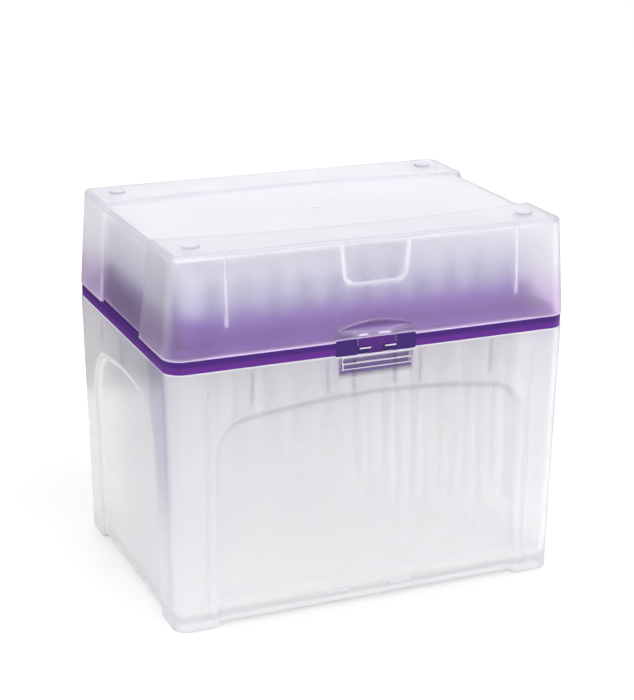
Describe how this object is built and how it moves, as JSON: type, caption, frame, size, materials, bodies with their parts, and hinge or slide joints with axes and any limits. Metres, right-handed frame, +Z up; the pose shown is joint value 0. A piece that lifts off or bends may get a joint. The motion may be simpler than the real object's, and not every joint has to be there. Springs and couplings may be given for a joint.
{
  "type": "box of pipette tips",
  "caption": "Frosted plastic laboratory box with a hinged lid and a raised coloured tray that holds rows of long pipette tips.",
  "frame": {"origin": "bottom centre of the closed box, on the bench", "axes": "+X along the front to the right, +Y from front to back, +Z up"},
  "size_m": [0.123, 0.0942, 0.1108],
  "materials": {
    "frosted_base": "frosted translucent natural polypropylene",
    "frosted_lid": "frosted translucent natural polypropylene",
    "violet_tray": "satin dyed polypropylene",
    "tip_plastic": "smooth clear polypropylene"
  },
  "bodies": {
    "box": {"base_box": "frosted_base", "tip_tray": "violet_tray", "tips_column_01": "tip_plastic", "tips_column_02": "tip_plastic", "tips_column_03": "tip_plastic", "tips_column_04": "tip_plastic", "tips_column_05": "tip_plastic", "tips_column_06": "tip_plastic", "tips_column_07": "tip_plastic", "tips_column_08": "tip_plastic", "tips_column_09": "tip_plastic", "tips_column_10": "tip_plastic", "tips_column_11": "tip_plastic", "tips_column_12": "tip_plastic"},
    "lid": {"lid": "frosted_lid"}
  },
  "joints": [
    {"name": "lid_hinge", "type": "hinge", "parent": "box", "child": "lid", "pos_m": [0, 0.0447, 0.07915], "axis": [-1, 0, 0], "range_deg": [0, 115]}
  ]
}
